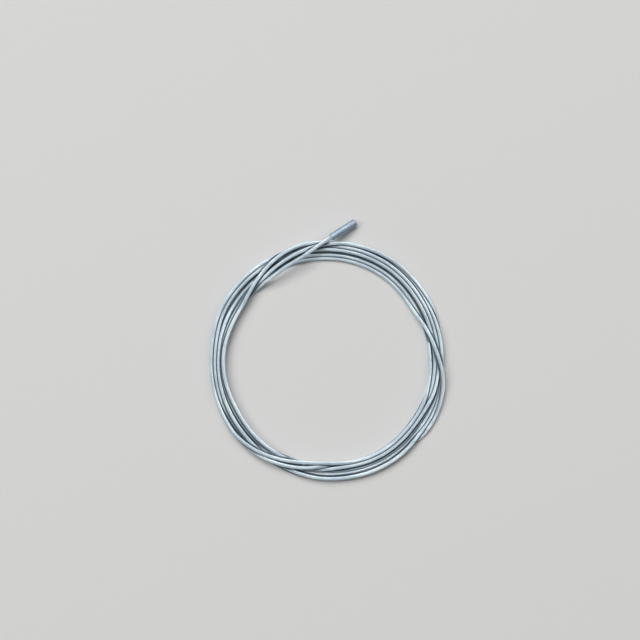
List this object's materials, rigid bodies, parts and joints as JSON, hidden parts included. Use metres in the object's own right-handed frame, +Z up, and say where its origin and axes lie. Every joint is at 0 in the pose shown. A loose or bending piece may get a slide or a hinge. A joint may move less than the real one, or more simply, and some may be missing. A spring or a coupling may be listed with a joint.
{
  "type": "bicycle shift cable",
  "caption": "Coiled steel inner wire for a bicycle gear shifter, with a plain cylindrical fitting on its free end.",
  "frame": {"origin": "middle of the footprint, on the floor that the coil lies on", "axes": "+Z up through the coil, +Y towards the side where the fitting leaves the coil"},
  "size_m": [0.0812, 0.0886, 0.0048],
  "materials": {
    "galvanised_wire": "galvanised stranded steel, satin",
    "fitting_metal": "satin, blue-grey"
  },
  "bodies": {
    "root": {"cable_coil": "galvanised_wire", "cable_tail": "galvanised_wire", "end_fitting": "fitting_metal"}
  },
  "joints": []
}
